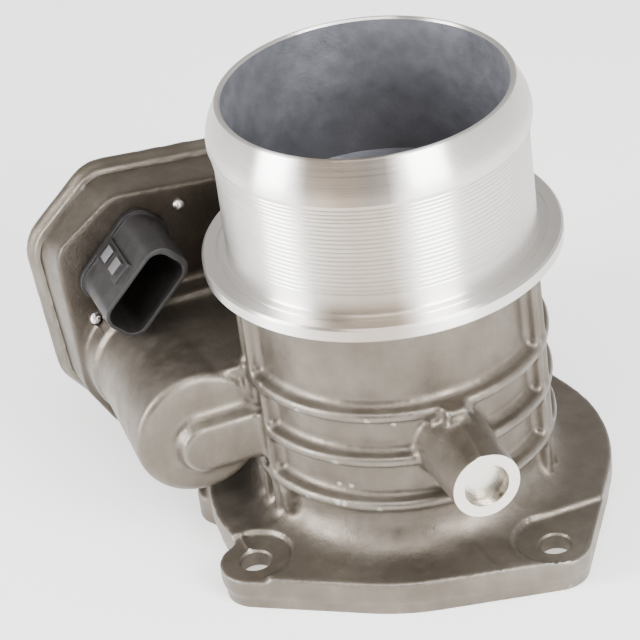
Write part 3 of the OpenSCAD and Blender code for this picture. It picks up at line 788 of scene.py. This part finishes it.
FINISHES = {
    "cast": cast_aluminium("cast_aluminium", True),
    "turned": turned_aluminium(),
    "steel": metal("ground_steel", (0.50, 0.50, 0.51), (0.64, 0.64, 0.65), 0.22, 0.36),
    "dark_steel": metal("sintered_magnet", (0.07, 0.07, 0.075), (0.14, 0.14, 0.15), 0.5, 0.7, metallic=0.8),
    "brass": metal("brass", (0.66, 0.50, 0.24), (0.82, 0.66, 0.36), 0.25, 0.4),
    "copper": metal("copper_winding", (0.50, 0.26, 0.14), (0.68, 0.38, 0.22), 0.3, 0.45, 900.0),
    "black_plastic": moulded("black_plastic", (0.007, 0.006, 0.006), (0.014, 0.012, 0.012), 0.40, 0.54),
    "nylon": moulded("natural_nylon", (0.70, 0.67, 0.58), (0.80, 0.77, 0.68), 0.42, 0.55),
    "board": moulded("coated_board", (0.02, 0.10, 0.05), (0.03, 0.15, 0.08), 0.25, 0.4),
    "rubber": moulded("seal_rubber", (0.012, 0.012, 0.012), (0.024, 0.024, 0.024), 0.6, 0.75),
}
BORE_SKIN = bore_skin()
FACED = faced_aluminium()
# lighter plastic for the latch ramps' tops: a painted highlight
RAMP_HIGHLIGHT = moulded("ramp_highlight_plastic", (0.075, 0.072, 0.078), (0.11, 0.106, 0.112), 0.3, 0.42)
BORED = metal("bored_wall", (0.09, 0.08, 0.06), (0.55, 0.51, 0.43), 0.25, 0.4, 700.0)
CAST_FLATS = cast_aluminium("cast_flats", False)


def coloured(obj, slot, *materials):
    """Puts the materials on obj, the first of them on every face."""
    obj.data.materials.clear()
    for material in materials:
        obj.data.materials.append(material)
    for polygon in obj.data.polygons:
        polygon.material_index = 0


def paint_faces(obj, index, belongs):
    """Gives a finish to the faces that belong, judged by centre in millimetres and by normal."""
    for polygon in obj.data.polygons:
        if belongs(polygon.center / MM, polygon.normal):
            polygon.material_index = index


def paint_flats(obj, index, length):
    """Gives faces with a side longer than length, in millimetres, the finish without the lighter corners and
    the painted shade in hollows.
    """
    points = [v.co.copy() for v in obj.data.vertices]
    for polygon in obj.data.polygons:
        ring = [points[i] for i in polygon.vertices]
        if max((a - b).length_squared for a, b in zip(ring, ring[1:] + ring[:1])) > (length * MM) ** 2:
            polygon.material_index = index


def inward(centre, normal):
    """Whether a face looks at the bore's axis."""
    return normal.xy.dot(centre.xy) < 0


def paint_casting(obj):
    """Cast skin, with the machined places picked out."""
    coloured(obj, "cast", FINISHES["cast"], BORE_SKIN, FACED, CAST_FLATS, BORED)
    bore, faced, flat, bored = 1, 2, 3, 4
    paint_flats(obj, flat, 1.7)
    for angle in BOLT_ANGLES:
        bolt = Vector(around(angle, BOLT_CIRCLE_R))

        def off(centre):
            return (centre.xy - bolt).length

        paint_faces(obj, flat, lambda c, n: off(c) < 3.7 or (off(c) < 6.5 and abs(n.z) > 0.95))
        # the wide feet of the bolt holes get the bright faced finish: partly their machined wall, partly
        # painted light standing in for the light seen through the holes
        paint_faces(obj, faced, lambda c, n: (
            c.z < HOLE_FOOT_TOP and abs(off(c) - HOLE_FOOT_R) < 0.1 and abs(n.z) < 0.1))
    paint_faces(obj, bore, lambda c, n: inward(c, n) and abs(c.xy.length - BORE_R) < 4)
    paint_faces(obj, faced, lambda c, n: n.y < -0.99 and abs(c.y - BOSS_FACE) < 0.05)
    paint_faces(obj, bored, lambda c, n: (
        c.y < PLUG_FACE + 0.2 and abs(n.y) < 0.5
        and Vector((c.x, c.z - SHAFT_Z)).length < BOSS_MOUTH_R + 0.15))


# ---- build ----

casting = shaded(cast_body(), 32)
paint_casting(casting)
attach(casting, "body")
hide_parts("housing")

spigot = shaded(turned_spigot(), 14)
coloured(spigot, "turned", FINISHES["turned"], BORE_SKIN)
# the air bore's wall inside the spigot
paint_faces(spigot, 1, lambda c, n: (
    inward(c, n) and c.xy.length < SPIGOT_BORE_R + 0.05 and c.z < SPIGOT_TOP - 0.4))
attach(spigot, "body")
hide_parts("housing")

lid = shaded(pressed_cover(), 32)
coloured(lid, "turned", FINISHES["cast"])
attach(lid, "body")
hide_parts("gear_cover")

socket = shaded(plug_socket(), 35)
coloured(socket, "black_plastic", FINISHES["black_plastic"], RAMP_HIGHLIGHT)
# the tops of the two latch ramps, painted lighter as a painted highlight
paint_faces(socket, 1, lambda c, n: (
    (c.z - CONN_Z) - (c.x - CONN_X) > 6.45 * sqrt(2) and n.z - n.x > 1.2))
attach(socket, "body")
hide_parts("connector_shell")

plug = shaded(boss_plug(), 35)
coloured(plug, "turned", FACED)
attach(plug, "body")
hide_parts("end_plug")

slots = {row["node"]: row["material_slot"] for row in frame["record"]["subparts"]}
for node, obj in frame["nodes"].items():
    obj.data.materials.clear()
    obj.data.materials.append(FINISHES[slots[node]])


# ---- floor, light and camera ----

def floor():
    clear_selection()
    bpy.ops.mesh.primitive_plane_add(size=6.0, location=(0, 0, 0))
    obj = placed("floor")
    s = Shader("pale_floor", Roughness=0.8, Emission_Strength=0.85, Emission_Color=(1.0, 1.0, 1.0, 1.0))
    tone = s.ramp(s.noise(3.0), (0.3, (0.90, 0.90, 0.90)), (0.7, (0.92, 0.92, 0.92)))
    obj.data.materials.append(s.finish(tone))


def softbox(name, place, size, power):
    """A lamp panel, width by height, that faces the part."""
    data = bpy.data.lights.new(name, "AREA")
    data.shape = "RECTANGLE"
    data.size, data.size_y = size
    data.energy = power
    obj = bpy.data.objects.new(name, data)
    bpy.context.scene.collection.objects.link(obj)
    obj.location = place
    obj.rotation_mode = "QUATERNION"
    obj.rotation_quaternion = (Vector((0, 0, 0.05)) - Vector(place)).to_track_quat("-Z", "Y")


def sky():
    """A soft room: pale to the left and right, dark to the left of the front, grey behind."""
    world = bpy.data.worlds.new("studio")
    bpy.context.scene.world = world
    world.use_nodes = True
    nodes, links = world.node_tree.nodes, world.node_tree.links
    back = nodes["Background"]
    back.inputs["Strength"].default_value = 1.0
    split = nodes.new("ShaderNodeSeparateXYZ")
    links.new(nodes.new("ShaderNodeTexCoord").outputs["Generated"], split.inputs["Vector"])
    share = share_of_turn(nodes, links, split.outputs["X"], split.outputs["Y"])
    stops = (
        (0.0, (0.62, 0.60, 0.58)), (0.09, (0.64, 0.62, 0.60)), (0.14, (0.80, 0.77, 0.73)),
        (0.21, (0.85, 0.82, 0.79)), (0.31, (0.60, 0.54, 0.48)), (0.35, (0.22, 0.19, 0.155)),
        (0.47, (0.14, 0.12, 0.10)), (0.50, (0.60, 0.56, 0.52)), (0.61, (0.92, 0.89, 0.86)),
        (0.80, (0.86, 0.83, 0.80)), (0.86, (0.64, 0.62, 0.60)), (1.0, (0.62, 0.60, 0.58)))
    links.new(colour_ramp(nodes, links, share, stops), back.inputs["Color"])


def camera():
    """Looks down at the spigot from in front and a little to the left, with a slight roll."""
    azimuth, elevation, roll = radians(-16.28), radians(32.18), radians(-7.62)
    away, aside, aim_z = 652.57, -15.38, 48.0
    back = Vector((sin(azimuth) * cos(elevation), -cos(azimuth) * cos(elevation), sin(elevation)))
    right = Vector((cos(azimuth), sin(azimuth), 0))
    up = back.cross(right)
    x = cos(roll) * right + sin(roll) * up
    y = -sin(roll) * right + cos(roll) * up
    data = bpy.data.cameras.new("camera")
    data.lens = 171.03
    data.sensor_width = 36.0
    data.clip_start, data.clip_end = 0.05, 20.0
    obj = bpy.data.objects.new("camera", data)
    bpy.context.scene.collection.objects.link(obj)
    place = (Vector((0, 0, aim_z)) + right * aside + back * away) * MM
    turn = Matrix((x, y, back)).transposed()
    obj.matrix_world = Matrix.Translation(place) @ turn.to_4x4()
    bpy.context.scene.camera = obj


floor()
sky()
softbox("left_strip", (-0.95, 0.02, 0.42), (0.40, 0.75), 20.0)
softbox("front_right", (0.30, -0.90, 0.50), (0.46, 0.80), 24.0)
softbox("overhead", (-0.2, -0.45, 1.1), (0.7, 0.7), 9.0)
camera()
